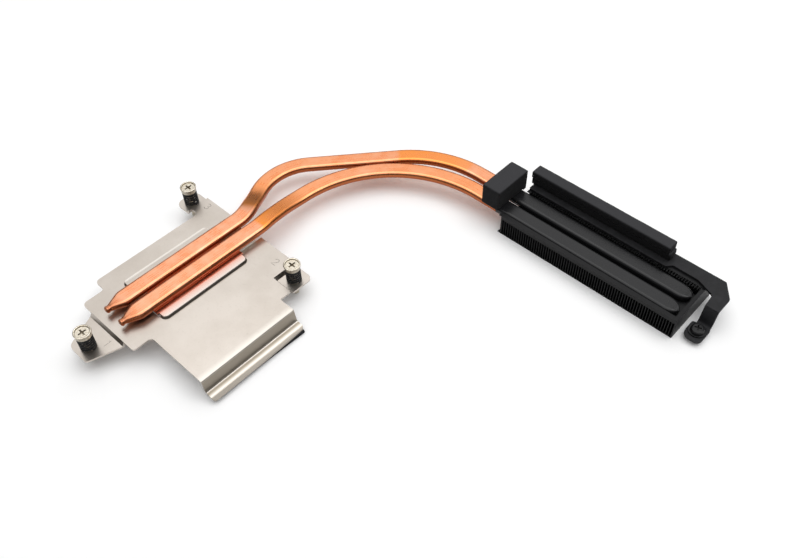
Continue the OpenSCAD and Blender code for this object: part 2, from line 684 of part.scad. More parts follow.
// One fin: web with the pipes' channel, floor flange, front rail, channel flange and the flange
// under the bracket.
// Its flanges reach to the next fin.
module fin() {
    y0 = fin_y0;
    y1 = fin_y1;
    t = fin_t;
    along_x(0, t) polygon([[y0, 0], [y1, 0], [y1, fin_h], [channel_y1, fin_h], [channel_y1, channel_z],
        [channel_y0, channel_z], [channel_y0, fin_h], [y0, fin_h]]);
    along_x(t, fin_pitch) {
        polygon([[y0, 0], [y1, 0], [y1, t], [y0, t]]);
        polygon([[channel_y1 + comb_w, fin_h - t], [y1, fin_h - t], [y1, fin_h],
            [channel_y1 + comb_w, fin_h]]);
        polygon([[y0, fin_h - rail_h], [y0 + t, fin_h - rail_h], [y0 + t, fin_h - t], [channel_y0, fin_h - t],
            [channel_y0, fin_h], [y0, fin_h]]);
        polygon([[channel_y0, channel_z - t], [channel_y1, channel_z - t], [channel_y1, channel_z],
            [channel_y0, channel_z]]);
    }
}

module fin_stack() {
    color([0.07, 0.07, 0.08]) for (i = [0:fin_count - 1])
        translate([fins_x + i * fin_pitch, 0, floor_z]) fin();
}

module fin_end_plate_left() {
    color([0.07, 0.07, 0.08]) translate([fins_x, 0, floor_z]) {
        along_x(-end_t, 0) polygon([[fin_y0, 0], [fin_y1, 0], [fin_y1, fin_h], [channel_y1, fin_h],
            [channel_y1, channel_z], [channel_y0, channel_z], [channel_y0, fin_h], [fin_y0, fin_h]]);
        span([-end_t - lip_w, fin_y0, 0], [-end_t, fin_y1, 0.3]);
        span([-end_t - lip_w, fin_y0, fin_h - 0.3], [-end_t, channel_y0, fin_h]);
        span([-end_t - lip_w, channel_y1, fin_h - 0.3], [-end_t, fin_y1, fin_h]);
    }
}

module fin_end_plate_right() {
    top = fin_h + 0.3;
    color([0.07, 0.07, 0.08]) translate([fins_end, 0, floor_z]) union() {
        along_x(0, end_t) polygon([[fin_y0, 0], [fin_y1, 0], [fin_y1, fin_h], [bracket_y0 - 0.3, fin_h],
            [bracket_y0 - 0.3, top], [fin_y0, top]]);
        span([end_t - end_flange_w, fin_y0, fin_h], [end_t, bracket_y0 - 0.3, top]);
    }
}

// Bracket in plan down to its bend: strip over the fins' rear edge, arm and leg
module bracket_flat() {
    inner = bracket_y0 + set_back;
    translate([0, 0, bracket_z]) linear_extrude(bracket_t) polygon(outline([
        [fins_x - end_t - lip_w, bracket_y0, 0.5],
        [strip_x1 + 0.4, bracket_y0, 0.4],
        [strip_x1 + 0.4 + 2, inner, 0],
        [fins_end + end_t - 4.5, inner, 4],
        [leg_x0 - 0.4, inner - 3, 1.2],
        [leg_x0, leg_y, 0],
        [leg_x1, leg_y, 0],
        [leg_x1, bracket_y1 - elbow, 1],
        [leg_x1 - elbow_x, bracket_y1, 1],
        [fins_x - end_t - lip_w, bracket_y1, 0.5]]));
}

module side_bracket() {
    top = bracket_z + bracket_t;
    foot_top = foot_z + bracket_t;
    color([0.09, 0.09, 0.1]) union() {
        bracket_flat();
        // Leg: the section runs outwards as (-Y, Z)
        translate([0, leg_y, 0]) rotate([0, 0, 180]) along_x(-leg_x1, -leg_x0) polygon(sheet(path([
            [-1.6, top, 0], [0.2, top, leg_r], [leg_run, foot_top, leg_r],
            [leg_run + 2, foot_top, 0]]), bracket_t));
        difference() {
            translate([0, 0, foot_z]) linear_extrude(bracket_t) polygon(outline([
                [leg_x0, leg_y - leg_run - 0.9, 0],
                [foot_c[0] - foot_w / 2, foot_y1 - 1.4, 0.8],
                [foot_c[0] - foot_w / 2, foot_y1 - foot_l, 3.2],
                [foot_c[0] + foot_w / 2, foot_y1 - foot_l, 2.4],
                [foot_c[0] + foot_w / 2, foot_y1 - 1.1, 0.5],
                [leg_x1, leg_y - leg_run - 0.9, 0]]));
            translate([foot_c[0], foot_c[1], foot_z - 1]) cylinder(d = foot_shank_d + 0.5, h = bracket_t + 2);
        }
    }
}

module bracket_screw() {
    r = foot_head_d / 2;
    s = foot_shank_d / 2;
    g = s - 0.35;
    under = foot_z + bracket_t + washer_t;
    top = under + foot_head_h;
    color([0.08, 0.08, 0.09]) translate([foot_c[0], foot_c[1], 0]) difference() {
        rotate_extrude() polygon([[0, floor_z], [s - 0.3, floor_z], [s, floor_z + 0.3],
            [s, foot_z - ring_t - 2 * fit], [g, foot_z - ring_t - 2 * fit], [g, foot_z], [s, foot_z],
            [s, under], [r, under], [r, under + foot_head_h * 0.5], [r - 0.25, top - 0.25],
            [r - 0.8, top], [0, top]]);
        for (a = [20, 110]) rotate([0, 0, a]) translate([-1.35, -0.3, top - 1]) cube([2.7, 0.6, 1.2]);
    }
}

module bracket_washer() {
    color([0.1, 0.1, 0.11]) translate([foot_c[0], foot_c[1], foot_z + bracket_t]) difference() {
        cylinder(d = washer_d, h = washer_t);
        translate([0, 0, -1]) cylinder(d = foot_shank_d + 0.2, h = washer_t + 2);
    }
}

module bracket_ring() {
    open_ring(foot_c, foot_z - ring_t - fit, foot_ring_d, foot_shank_d - 0.7, ring_t);
}

// Foam
module entry_foam_block() {
    low = pipe_bottom_fins + pipe_t;
    x1 = fins_x - block_foam_gap;
    x0 = x1 - block_foam[0];
    y0 = front_y - pipe_w / 2 - fit - skirt_t;
    color([0.13, 0.13, 0.14]) difference() {
        span([x0, y0, low - skirt_h], [x1, y0 + block_foam[1], low + block_foam[2]]);
        span([x0 - 1, y0 + skirt_t, low - skirt_h - 1], [x1 + 1, rear_y + pipe_w / 2 + fit, low]);
    }
}

strip_y1 = bracket_y1 - strip_edge;
strip_z = bracket_z + bracket_t;

module seal_foam_lower() {
    color([0.11, 0.11, 0.12]) span([fins_x - strip_over + strip_step, strip_y1 - strip_w + strip_step, strip_z],
        [strip_x1 + 0.3, strip_y1 - strip_step, strip_z + strip_t]);
}

module seal_foam_upper() {
    color([0.13, 0.13, 0.14]) span([fins_x - strip_over, strip_y1 - strip_w, strip_z + strip_t],
        [strip_x1 - 0.5, strip_y1, strip_z + 2 * strip_t]);
}

// Foam pad that fills the space under the flange's shelf and lip
module flange_pad() {
    x0 = edge_flange + flange_run + 0.4;
    x1 = flange_x1 - lip_taper + pad_out;
    y0 = flange_y0 + 4;
    y1 = right_y - 0.2;
    low = floor_z + pad_clear;
    under = beside(flange_line(edge_flange), sheet_t);
    last = under[len(under) - 1];
    color([0.12, 0.12, 0.13]) difference() {
        translate([0, 0, low]) linear_extrude(plate_top - flange_drop - low)
            polygon([[x0, y0], [x1 - pad_skew, y0], [x1, y1], [x0, y1]]);
        along_y(y0 - 1, y1 + 1) polygon(concat(under,
            [[x1 + 1, last[1]], [x1 + 1, plate_top], [edge_flange - 1, plate_top]]));
    }
}

retention_plate();
cold_plate();
heat_pipe_front();
heat_pipe_rear();
captive_screw_1();
captive_screw_2();
captive_screw_3();
screw_spring_1();
screw_spring_2();
screw_spring_3();
retaining_ring_1();
retaining_ring_2();
retaining_ring_3();
fin_stack();
fin_end_plate_left();
fin_end_plate_right();
side_bracket();
bracket_screw();
bracket_washer();
bracket_ring();
entry_foam_block();
seal_foam_lower();
seal_foam_upper();
flange_pad();
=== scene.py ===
"""Looks of a laptop processor heatsink, laid out as an add-on over a fixed CAD frame.

Lengths are in metres in the CAD frame: origin at the centre of the cold plate's contact face,
+X along the fin stack, +Y along the pipes on the plate, +Z up. Shapes are worked out in
millimetres as numpy surfaces and scaled when they become meshes.
"""

import math
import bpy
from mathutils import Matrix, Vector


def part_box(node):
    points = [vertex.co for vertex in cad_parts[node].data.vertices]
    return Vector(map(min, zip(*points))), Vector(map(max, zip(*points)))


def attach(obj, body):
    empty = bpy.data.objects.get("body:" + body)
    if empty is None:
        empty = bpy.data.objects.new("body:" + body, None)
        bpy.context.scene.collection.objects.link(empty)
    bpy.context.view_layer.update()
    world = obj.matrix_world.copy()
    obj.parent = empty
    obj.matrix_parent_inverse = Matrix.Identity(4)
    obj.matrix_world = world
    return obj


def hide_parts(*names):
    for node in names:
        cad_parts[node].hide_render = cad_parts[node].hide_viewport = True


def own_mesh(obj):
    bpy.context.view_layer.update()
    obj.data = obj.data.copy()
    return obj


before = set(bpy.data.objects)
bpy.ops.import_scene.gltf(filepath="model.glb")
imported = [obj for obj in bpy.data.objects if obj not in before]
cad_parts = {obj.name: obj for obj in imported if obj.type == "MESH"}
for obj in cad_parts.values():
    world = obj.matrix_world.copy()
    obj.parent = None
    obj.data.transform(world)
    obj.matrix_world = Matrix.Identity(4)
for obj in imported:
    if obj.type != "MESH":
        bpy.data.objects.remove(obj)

from types import SimpleNamespace

import bmesh
import bpy
import numpy as np
from bpy.props import FloatProperty, FloatVectorProperty, IntProperty, PointerProperty
from mathutils import Matrix, Vector

bl_info = {
    "name": "Laptop Heatsink",
    "version": (1, 0, 0),
    "blender": (4, 5, 0),
    "location": "View3D > Sidebar > Heatsink",
    "description": "Builds the pipes, springs, foam, marks, materials and studio of a laptop heatsink",
    "category": "Object",
}

MM = 0.001
FLOOR_Z = -6 * MM
BODY = "heatsink"
# Places of the captive screws and of the stamped numbers beside them, in millimetres
SCREWS = {1: (1.0, -45.4), 2: (32.4, 26.3), 3: (-30.8, 26.5)}
MARKS = {1: (5.1, -40.1, 1.4), 2: (21.6, 26.7, 3.0), 3: (-22.3, 28.4, 3.0)}
# Depth to which a stamped number's feet are sunk and height of its ridge, in millimetres
MARK_SINK, MARK_RISE = 0.02, 0.035

# Bands of the retention plate's finish, in millimetres, each given by the places where it is absent
# and full; most of them carry painted light. Along Z: the raised seat, which is also smoother, its rim
# (painted highlight) and its sides (painted shade), from below and from above. Along X: the seat beside
# the front pipe (painted highlight), the painted reflection of the pipe in it, the flange's upper bend
# (painted highlight), wall and shelf (painted shade), the shelf's painted dark strip from both sides,
# and the lip (painted shade). The rim lies at SEAT_EDGE_X and is RIM_REACH wide
SEAT_TOP, SEAT_RIM, SEAT_SIDE = (3.8, 4.1), (3.3, 3.9), ((3.1, 3.3), (4.05, 3.8))
SEAT_EDGE_X, RIM_REACH, SEAT_BESIDE_PIPE, PAINTED_PIPE_REFLECTION = -12.6, 0.8, (7, 8), (13.5, 9.5)
FLANGE_BEND, FLANGE_WALL, FLANGE_SHELF = (41.5, 43.6), (44.3, 44.6), (45.5, 45.8)
SHELF_STRIP, FLANGE_LIP = ((45.9, 46.2), (47.9, 46.8)), (48.0, 48.5)
# The same for the darker band in a screw's recess along Z, from above and from below
RECESS = ((9.55, 9.3), (8.2, 8.3))

# Half widths and half thicknesses of a pipe by the distance from its sealed tip, and half
# thicknesses by the distance from its rounded end; each goes on to the full section, whose value
# is left out here
TIP_WIDTHS = [0, 0.15, 0.45, 0.9, 1.3, 1.7, 2.4, 6.8, 8], [0.7, 1.05, 1.35, 1.42, 1.28, 1.26, 1.55, 3.45]
TIP_HEIGHTS = [0, 0.15, 0.45, 0.9, 1.3, 1.7, 3.0, 8], [0.7, 1.0, 1.25, 1.3, 1.14, 1.12, 1.42]
NOSE_HEIGHTS = [0, 0.9, 2.2], [0.8, 1.15, 1.4]
# Distances from the sealed tip at which the mesh of a pinched end has its rings
TIP_RINGS = [0, 0.06, 0.15, 0.3, 0.45, 0.65, 0.9, 1.1, 1.3, 1.5, 1.7, 2.0, 2.4, 2.7, 3.2, 4, 5, 6,
             6.5, 6.8, 7.2]
# Radii of the bends, and strength of the orange heat tint by the length along each pipe
FRONT_RADII, REAR_RADII = (20, 54), (16, 23, 45)
FRONT_TINT = (66.8, 67.6, 80, 95, 125, 150, 180), (0, 1, 0.9, 0.4, 0.15, 0.35, 0.4)
REAR_TINT = (70, 73, 82, 96, 151.4, 152.2, 176, 184, 185), (0, 0.9, 0.7, 0.3, 0.15, 1, 0.85, 0.6, 0.1)

# Each foam piece's torn depth at its +X end, and the sides along Y and the rise of its channel
FOAM_PIECES = {"entry_foam_block": (0.0, (106.8, 123.2, 0.8)), "seal_foam_lower": (0.5, None),
               "seal_foam_upper": (0.3, None), "flange_pad": (0.0, None)}
# Top of the pad by its place along X, whose last one is the pad's outer side, and the share of its
# length that is left at the -Y end
PAD_TOP_X, PAD_TOP_Z, PAD_NARROW = (46.0, 48.09), (-3.43, -3.81, -4.98), 0.68

# Studio, in metres: half the paper's side, the camera, the aim of the lamps, and each lamp's
# place, size and share of the key light's power
PAPER_HALF = 3.0
CAMERA_AT, LAMPS_AIM = (0.2096, -0.10135, 0.2488), (0.05, 0.05, 0.0)
LAMPS = {"softbox": ((-0.44, 0.58, 0.80), (1.30, 1.00), 1.0),
         "edge_light": ((0.42, 0.52, 0.85), (0.50, 0.50), 0.45)}
# Height of a direction in the sky and its grey
SKY_GREYS = ((0.05, 0.03), (0.55, 0.12), (0.79, 0.29), (0.87, 1.0))

# Strokes of the numbers on a field one unit high
STROKES = {
    1: [(0.16, 0.82), (0.36, 1.0), (0.36, 0.0)],
    2: [(0.04, 0.76), (0.14, 0.93), (0.36, 1.0), (0.58, 0.92), (0.64, 0.72), (0.5, 0.45), (0.04, 0.0),
        (0.7, 0.0)],
    3: [(0.05, 0.88), (0.3, 1.0), (0.56, 0.91), (0.6, 0.68), (0.3, 0.53), (0.6, 0.42), (0.64, 0.16),
        (0.36, 0.0), (0.04, 0.12)],
}


# Settings

def length(name, mm, text):
    """Length property whose default is given in millimetres."""
    return FloatProperty(name=name, description=text, default=mm * MM, unit="LENGTH", precision=5)


def angle(name, degrees, text):
    """Angle property whose default is given in degrees."""
    return FloatProperty(name=name, description=text, default=math.radians(degrees), subtype="ANGLE")


def colour(name, rgb, text):
    """Colour property."""
    return FloatVectorProperty(name=name, description=text, default=rgb, subtype="COLOR", min=0, max=1)


def plain(group):
    """Settings as plain numbers: lengths in millimetres, angles in radians, colours as tuples."""
    out = SimpleNamespace()
    for prop in group.bl_rna.properties:
        if prop.identifier in type(group).__annotations__:
            value = getattr(group, prop.identifier)
            if prop.type == "FLOAT" and prop.is_array:
                value = tuple(value)
            elif prop.type == "FLOAT" and prop.unit == "LENGTH":
                value = value / MM
            setattr(out, prop.identifier, value)
    return out


class PipeSettings(bpy.types.PropertyGroup):
    """Sizes of the two flattened heat pipes"""
    width: length("Width", 7.4, "Width of a flattened pipe")
    thick: length("Thickness", 3.2, "Thickness of a flattened pipe")
    edge: length("Edge radius", 1.4, "Radius of the section's rounded edges")
    pitch: length("Pitch", 8.9, "Distance between the pipes' middles")
    tip: length("Tip", 33.0, "Distance from the cold plate's centre to the sealed tips")
    bend_start: length("Bend start", 34.0, "Distance from the cold plate's centre to the first corner")
    seat_z: length("Height on the plate", 4.2, "Underside of the pipes on the raised seat")
    fins_z: length("Height in the fins", 0.7, "Underside of the pipes in the fins")
    end_x: length("Far end", 149.82, "Place of the rounded ends in the fins")
    fins_y: length("Middle in the fins", 115.0, "Middle of the two pipes in the fins")
    swing_front: angle("Front swing", 10.2, "Angle by which the front pipe swings out")
    swing_rear: angle("Rear swing", 32.0, "Angle by which the rear pipe swings out")
    run_angle: angle("Rear run", 49.0, "Angle of the rear pipe's straight run")
    rear_reach: length("Rear reach", 33.0, "Length of the rear pipe's swing")
    front_fall: length("Front fall", 27.0, "Length over which the front pipe comes down")
    rear_fall: length("Rear fall", 19.0, "Length over which the rear pipe comes down")
    pinch: length("Pinch", 8.0, "Length of the pinched tip")
    nose: length("Nose", 5.5, "Length of the rounded end in the fins")
    step: length("Step", 0.8, "Distance between the rings of the mesh")
    facets: IntProperty(name="Edge facets", description="Facets of each rounded edge", default=6, min=2)


class SpringSettings(bpy.types.PropertyGroup):
    """Sizes of the coil springs under the screws' heads"""
    wire: length("Wire", 0.62, "Diameter of the wire")
    outer: length("Outer diameter", 6.0, "Outer diameter of a spring")
    low: length("Foot", 1.4, "Height of the tab on which a spring stands")
    high: length("Head", 8.0, "Height of the underside of a screw's head")
    gap: length("Play", 0.05, "Gap at each end of a spring")
    stroke: length("Stroke", 2.4, "Distance by which a screw can be pressed")
    turns: FloatProperty(name="Turns", description="Number of turns", default=6.0, min=2)


class FoamSettings(bpy.types.PropertyGroup):
    """Finish of the cut foam pieces"""
    cell: length("Mesh step", 0.6, "Size of the mesh's squares")
    edge: length("Edge radius", 0.3, "Radius of the soft edges")
    rough: length("Waviness", 0.035, "Depth by which the cut faces waver")


class TongueSettings(bpy.types.PropertyGroup):
    """Sizes of the tongue's edge beside the front pipe"""
    inner: length("Inner side", 6.3, "Side that is hidden in the tongue")
    outer: length("Outer side", 7.8, "Side that shows beside the pipe")
    start: length("Start", 19.5, "End of the edge at the raised seat")
    end: length("End", 28.6, "End of the edge at the plate's border")
    low: length("Underside", 3.42, "Height of the edge's underside")
    high: length("Top", 4.2, "Height of the edge's top")
    cell: length("Mesh step", 0.1, "Size of the mesh's squares")
    edge: length("Edge radius", 0.36, "Radius of the edge's corners")
    rough: length("Waviness", 0.0, "Depth by which the faces waver")


class MarkSettings(bpy.types.PropertyGroup):
    """Sizes of the stamped numbers"""
    height: length("Height", 3.1, "Height of a number")
    width: length("Stroke width", 0.26, "Width of a stroke")


class FinishSettings(bpy.types.PropertyGroup):
    """Colours of the finishes"""
    nickel: colour("Nickel", (0.57, 0.52, 0.47), "Satin nickel plating of the sheet")
    nickel_dull: colour("Dull nickel", (0.51, 0.46, 0.41), "Stained places of the plating")
    # Painted highlight on the flange's upper bend, the seat's rim and the seat beside the front pipe
    nickel_light: colour("Light nickel", (0.76, 0.72, 0.66), "Light bands of the seat and the flange")
    # Painted shade on the flange's wall, the shelf's strip and the lip
    nickel_dim: colour("Dim nickel", (0.23, 0.195, 0.15), "Dull bands of the flange")
    # Painted shade on the raised seat's sides
    nickel_dark: colour("Dark nickel", (0.10, 0.085, 0.07), "Sides of the raised seat")
    nickel_speck: colour("Nickel specks", (0.30, 0.26, 0.22), "Specks of dust on the plating")
    # Painted reflection of the front pipe in the seat
    pipe_image: colour("Pipe image", (0.74, 0.26, 0.17), "Image of the front pipe in the seat")
    copper: colour("Copper", (0.83, 0.41, 0.25), "Bare copper of the pipes")
    copper_red: colour("Red copper", (0.80, 0.30, 0.145), "Oxidised copper")
    copper_tint: colour("Heat tint", (0.84, 0.27, 0.045), "Orange heat tint in the bends")
    # Painted shade on the pipes' sides, and dark oxide at their pinched tips
    copper_side: colour("Pipe side", (0.34, 0.09, 0.03), "Dark oxide on the pipes' sides")
    copper_spot: colour("Copper spots", (0.35, 0.12, 0.05), "Dark spots on the pipes")
    paint: colour("Paint", (0.010, 0.010, 0.011), "Black paint on the fins' end")
    paint_worn: colour("Worn paint", (0.05, 0.05, 0.05), "Specks where the paint is worn")
    foam: colour("Foam", (0.007, 0.007, 0.0075), "Black foam")
    foam_bloom: colour("Foam bloom", (0.03, 0.03, 0.032), "Dusty bloom on the foam")
    paint_x: length("Paint start", 66.5, "Place along the pipes at which the paint starts")


class StudioSettings(bpy.types.PropertyGroup):
    """Camera and light"""
    lens: FloatProperty(name="Lens", description="Focal length", default=38.34, unit="CAMERA")
    yaw: angle("Yaw", 43.5, "Turn of the camera about the vertical")
    down: angle("Tilt", 49.2, "Angle by which the camera looks down")
    roll: angle("Roll", -0.95, "Roll of the camera")
    sky: FloatProperty(name="Sky", description="Strength of the sky", default=1.9, min=0)
    key: FloatProperty(name="Key", description="Power of the softbox in watts", default=3.1, min=0)
    paper: FloatProperty(name="Paper", description="Glow that keeps the paper white", default=0.09)


GROUPS = {"hs_pipe": PipeSettings, "hs_spring": SpringSettings, "hs_foam": FoamSettings,
          "hs_tongue": TongueSettings, "hs_mark": MarkSettings, "hs_finish": FinishSettings,
          "hs_studio": StudioSettings}


# Surfaces

def build(name, verts, faces, mat, smooth=True, body=BODY):
    """Object from vertices (n, 3) in millimetres and faces, normals outwards, on a body."""
    me = bpy.data.meshes.new(name)
    me.from_pydata((np.asarray(verts, float) * MM).tolist(), [], faces)
    bm = bmesh.new()
    bm.from_mesh(me)
    bmesh.ops.recalc_face_normals(bm, faces=bm.faces)
    bm.to_mesh(me)
    bm.free()
    me.polygons.foreach_set("use_smooth", np.full(len(me.polygons), smooth))
    me.materials.append(mat)
    me.update()
    ob = bpy.data.objects.new(name, me)
    bpy.context.scene.collection.objects.link(ob)
    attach(ob, body)
    return ob


def tag(ob, **values):
    """Stores arrays of one number per vertex as named attributes."""
    for name, array in values.items():
        ob.data.attributes.new(name, "FLOAT", "POINT").data.foreach_set("value", np.ravel(array))


def grid_faces(rows, cols, wrap=True):
    """Quads of a rows x cols grid; with wrap each row closes on itself."""
    i, j = np.meshgrid(np.arange(rows - 1), np.arange(cols if wrap else cols - 1), indexing="ij")
    a, b = i * cols + j, i * cols + (j + 1) % cols
    return np.stack([a, b, b + cols, a + cols], -1).reshape(-1, 4)


def tube_faces(rows, cols):
    """Quads of a closed tube with a flat cap at each end."""
    ring = np.arange(cols)
    return grid_faces(rows, cols).tolist() + [ring[::-1].tolist(), (ring + (rows - 1) * cols).tolist()]


def arc_corner(a, b, c, radius, count=48):
    """Arc of the given radius that touches both legs of the corner a-b-c.

    The legs meet at an angle 2h; the arc's middle lies radius / sin(h) from b on the bisector and
    the arc begins radius / tan(h) from b.
    """
    u, v = (a - b) / np.linalg.norm(a - b), (c - b) / np.linalg.norm(c - b)
    h = math.acos(float(u @ v)) / 2
    middle = b + (u + v) / np.linalg.norm(u + v) * radius / math.sin(h)
    s, e = b + u * radius / math.tan(h) - middle, b + v * radius / math.tan(h) - middle
    first = math.atan2(s[1], s[0])
    turn = (math.atan2(e[1], e[0]) - first + 3 * math.pi) % (2 * math.pi) - math.pi
    t = first + turn * np.linspace(0, 1, count)
    return middle + radius * np.stack([np.cos(t), np.sin(t)], 1)


def rounded_path(points, radii):
    """Plan path through points with rounded inner corners, and the length at each of its points."""
    p = np.array(points, float)
    parts = [p[:1]] + [arc_corner(*p[i:i + 3], r) for i, r in enumerate(radii)] + [p[-1:]]
    q = np.concatenate(parts)
    s = np.concatenate([[0], np.cumsum(np.linalg.norm(np.diff(q, axis=0), axis=1))])
    keep = np.concatenate([[True], np.diff(s) > 1e-6])
    return q[keep], s[keep]


def smooth_share(t, a, b):
    """3u^2 - 2u^3 of the clamped share u = (t - a) / (b - a)."""
    u = np.clip((t - a) / (b - a), 0, 1)
    return u * u * (3 - 2 * u)


def section(w, h, k):
    """Closed section of a flattened tube for arrays of half widths w and half thicknesses h.

    Each of the four edges is a quarter circle of radius e = min(edge, 0.9 w, 0.85 h); one more
    point beside each end of an arc keeps the flat faces flat under smooth shading. Returns the
    offsets sideways and upwards, and how far each point belongs to a side.
    """
    w, h = w[:, None], h[:, None]
    e = np.minimum(np.minimum(k.edge, 0.9 * w), 0.85 * h)
    a = np.linspace(0, math.pi / 2, k.facets + 1)
    low = np.concatenate([[-math.pi / 2], a - math.pi / 2, [0]])
    half = np.repeat([-1.0, 1.0], len(low))
    turn = np.concatenate([low, -low[::-1]])
    in_x = np.zeros(len(low))
    in_x[0] = 1
    in_z = in_x[::-1]
    in_x, in_z = np.concatenate([in_x, in_x[::-1]]), np.concatenate([in_z, -in_z[::-1]])
    side = w - e + e * np.cos(turn) - 0.12 * in_x
    up = half * (h - e) + e * np.sin(turn) + in_z * np.minimum(0.1, 0.4 * (h - e))
    share = np.tile(np.cos(turn), 2) + 0 * h
    return np.hstack([side, -side]), np.hstack([up, -up]), share


def pipe_surface(points, radii, fall, k):
    """Surface of one pipe: the flattened section carried along its plan path.

    Near the sealed tip the half width and half thickness follow straight tapers into a crimped
    neck and a small round end. In the fins the half width ends as W sqrt(1 - (1 - d / L)^2) at
    distance d from the nose. The height falls between two lengths by a smooth share.
    """
    path, length_at = rounded_path(points, radii)
    total = length_at[-1]
    far = k.nose * (1 - np.cos(np.linspace(0, math.pi / 2, 16)))
    middle = np.arange(k.pinch, total - k.nose - k.step / 2, k.step)
    s = np.concatenate([TIP_RINGS, middle, total - far[::-1]])
    xy = np.stack([np.interp(s, length_at, path[:, i]) for i in (0, 1)], 1)
    fine = np.stack([np.interp(s + d, length_at, path[:, i]) for d in (0.05, -0.05) for i in (0, 1)], 1)
    along = fine[:, :2] - fine[:, 2:]
    along /= np.linalg.norm(along, axis=1, keepdims=True)
    right = np.stack([along[:, 1], -along[:, 0]], 1)
    end, w_full, h_full = total - s, k.width / 2, k.thick / 2
    w = np.interp(s, TIP_WIDTHS[0], TIP_WIDTHS[1] + [w_full])
    h = np.interp(s, TIP_HEIGHTS[0], TIP_HEIGHTS[1] + [h_full])
    nose = w_full * np.sqrt(np.clip(1 - (1 - np.clip(end / k.nose, 0, 1)) ** 2, 0.03, 1))
    w = np.minimum(w, nose)
    h = np.minimum(h, np.interp(end, NOSE_HEIGHTS[0] + [k.nose], NOSE_HEIGHTS[1] + [h_full]))
    z = k.seat_z + (k.fins_z - k.seat_z) * smooth_share(s, *fall) + h_full
    out, up, share = section(w, h, k)
    x, y = (xy[:, i:i + 1] + right[:, i:i + 1] * out for i in (0, 1))
    verts = np.stack([x, y, z[:, None] + up], -1)
    rows, cols = out.shape
    return verts.reshape(-1, 3), tube_faces(rows, cols), share, s[:, None] + 0 * out, out


def spring_surface(place, k, steps=28, sides=10):
    """Coil spring with closed ends.

    The wire's middle runs on a radius (D - d) / 2; it rises by 1.02 d over the first and the
    last turn and evenly between them.
    """
    low, high = k.low + k.wire / 2 + k.gap, k.high - k.wire / 2 - k.gap
    u = np.arange(int(round(k.turns * steps)) + 1) / steps
    lift = 1.02 * k.wire
    z = np.interp(u, [0, 1, k.turns - 1, k.turns], [low, low + lift, high - lift, high])
    a, b = 2 * math.pi * u[:, None], 2 * math.pi * (np.arange(sides) + 0.5)[None, :] / sides
    r = (k.outer - k.wire) / 2 + k.wire / 2 * np.cos(b)
    up = z[:, None] + k.wire / 2 * np.sin(b)
    verts = np.stack([place[0] + r * np.cos(a), place[1] + r * np.sin(a), up], -1)
    return verts.reshape(-1, 3), tube_faces(*verts.shape[:2])


def wave(p, seed, size):
    """Sum of six seeded plane waves with wavelengths near size, about -1 to 1."""
    rng = np.random.RandomState(seed)
    d = rng.normal(size=(6, 3))
    d *= 2 * math.pi / (np.linalg.norm(d, axis=1, keepdims=True) * size * rng.uniform(0.7, 1.5, (6, 1)))
    return np.sin(p @ d.T + rng.uniform(0, 6.28, 6)).sum(1) / 3


def box_lattice(n):
    """Surface points of a lattice of n cells a side as whole numbers, merged, and their quads."""
    points, faces, base = [], [], 0
    for ax in range(3):
        b, c = (ax + 1) % 3, (ax + 2) % 3
        for end in (0, n[ax]):
            grid = np.zeros((n[b] + 1, n[c] + 1, 3), int)
            grid[..., ax] = end
            grid[..., b], grid[..., c] = np.indices((n[b] + 1, n[c] + 1))
            points.append(grid.reshape(-1, 3))
            faces.append(grid_faces(n[b] + 1, n[c] + 1, wrap=False) + base)
            base += len(points[-1])
    merged, index = np.unique(np.concatenate(points), axis=0, return_inverse=True)
    return merged, index.reshape(-1)[np.concatenate(faces)].tolist()


def foam_surface(low, high, k, seed, ragged=0.0, channel=None):
    """Cut block of foam between two corners.

    A point p of the box goes to c + r (p - c) / |p - c| with c = p clamped to the box shrunk by
    the edge radius r. Then it moves inwards by the waviness, and the +X end by up to ragged. A
    channel (y0, y1, rise) lifts the underside between y0 and y1. The third result is 1 on the top
    and 0 on the cut sides.
    """
    low, high = np.array(low, float), np.array(high, float)
    grid, faces = box_lattice(np.maximum(np.round((high - low) / k.cell).astype(int), 3))
    p = low + (high - low) * grid / grid.max(0)
    c = np.clip(p, low + k.edge, high - k.edge)
    reach = np.maximum(np.linalg.norm(p - c, axis=1, keepdims=True), 1e-9)
    normal = (p - c) / reach
    depth = k.rough * np.clip(1 + 0.6 * wave(p, seed, 5.0) + 0.4 * wave(p, seed + 1, 1.6), 0, None)
    q = c + normal * (k.edge - depth[:, None])
    torn = ragged * (0.5 + 0.5 * wave(p * [0.2, 1, 1], seed + 2, 1.8))
    q[:, 0] -= np.clip((p[:, 0] - high[0] + 1.5) / 1.5, 0, 1) * torn
    if channel:
        rise = channel[2] * ((p[:, 1] > channel[0]) & (p[:, 1] < channel[1]))
        q[:, 2] = low[2] + rise + (q[:, 2] - low[2]) * (1 - rise / (high[2] - low[2]))
    return q, faces, np.clip(normal[:, 2] * 2 - 1, 0, 1)


def under_flange(q, low, high):
    """Narrows a cut block towards its -Y end and lowers its top to follow the flange's shelf."""
    x, y, z = q.T
    x = low[0] + (x - low[0]) * np.interp(y, [low[1], high[1]], [PAD_NARROW, 1.0])
    top = np.interp(x, (*PAD_TOP_X, high[0]), PAD_TOP_Z)
    return np.stack([x, y, low[2] + (z - low[2]) * (top - low[2]) / (high[2] - low[2])], 1)


def stroke_surface(points, width, z, height):
    """Shallow ridge along a plan line: two feet and a narrower crown, with mitred corners."""
    p = np.array(points, float)
    d = np.diff(p, axis=0)
    d /= np.linalg.norm(d, axis=1, keepdims=True)
    t = np.vstack([d[:1], d[:-1] + d[1:], d[-1:]])
    t /= np.linalg.norm(t, axis=1, keepdims=True)
    n = np.stack([-t[:, 1], t[:, 0]], 1) * width / 2
    offset = np.array([1, 0.55, -0.55, -1])[None, :, None]
    level = np.array([z, z + height, z + height, z])[None, :, None] + np.zeros((len(p), 1, 1))
    verts = np.concatenate([p[:, None, :] + n[:, None, :] * offset, level], -1)
    return verts.reshape(-1, 3), tube_faces(len(p), 4)


# Shader maths

